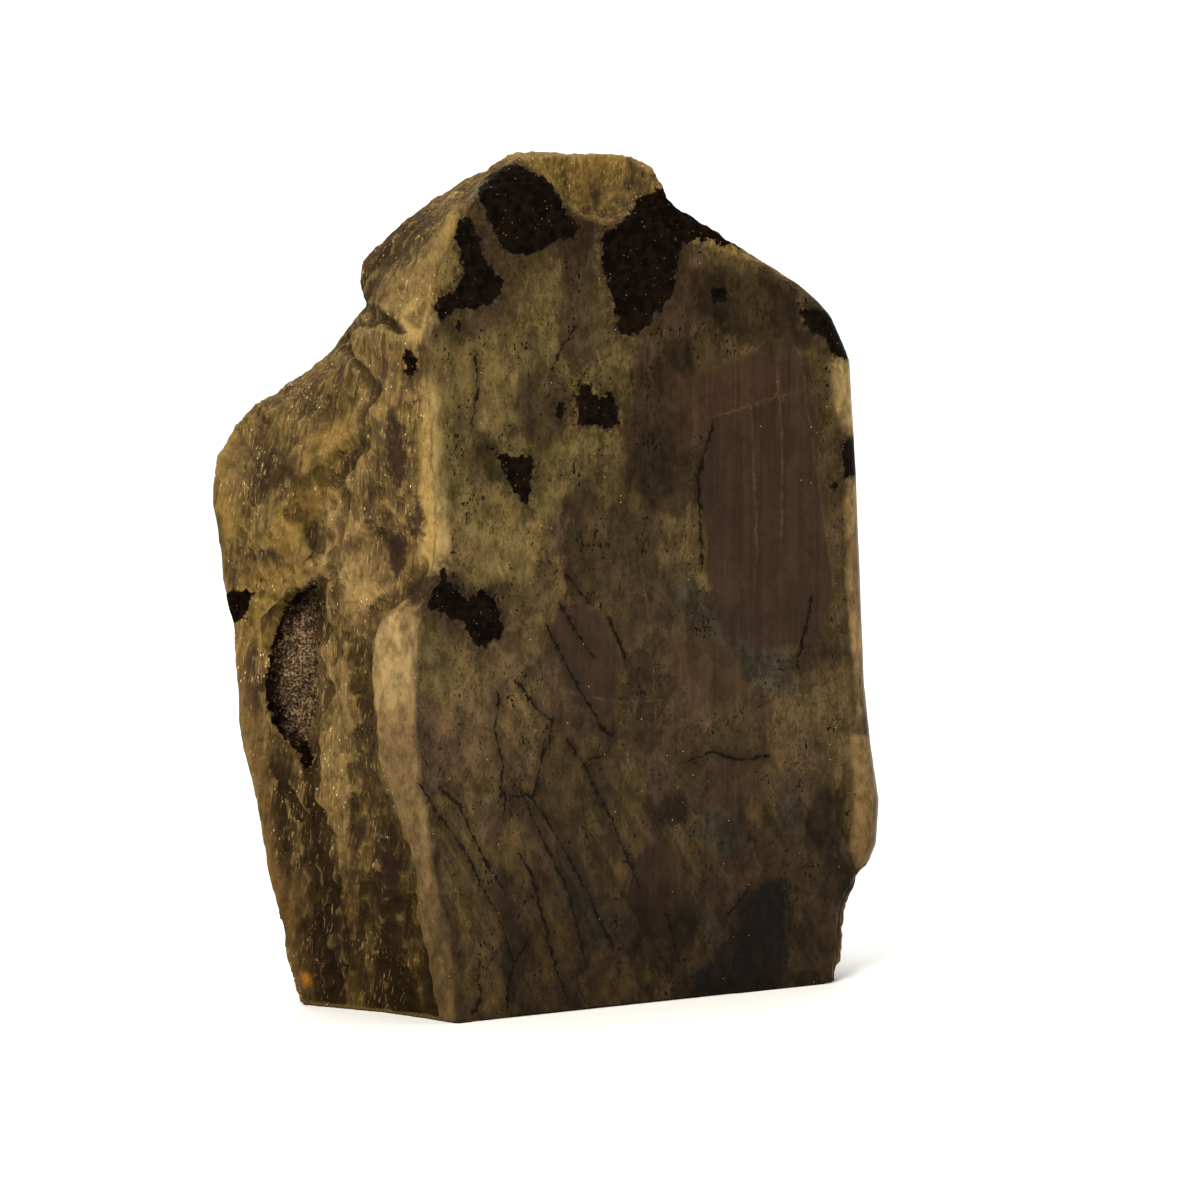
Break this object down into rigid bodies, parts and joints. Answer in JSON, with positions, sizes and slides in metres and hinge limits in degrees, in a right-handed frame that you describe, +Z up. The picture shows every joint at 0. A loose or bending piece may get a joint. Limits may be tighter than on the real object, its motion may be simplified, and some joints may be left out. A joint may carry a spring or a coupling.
{
  "type": "labradorite chunk",
  "caption": "Standing chunk of rough labradorite with a sawn flat base, one polished face with a rolled edge and a ground bevel, and broken hackly sides.",
  "frame": {"origin": "middle of the box round the stone, on the plane of its sawn base", "axes": "+Z up, -Y out of the polished face, +X to the right as one looks at that face"},
  "size_m": [0.1002, 0.0546, 0.13],
  "materials": {
    "labradorite": "polished on the front face, rough elsewhere"
  },
  "bodies": {
    "root": {"labradorite_chunk": "labradorite"}
  },
  "joints": []
}
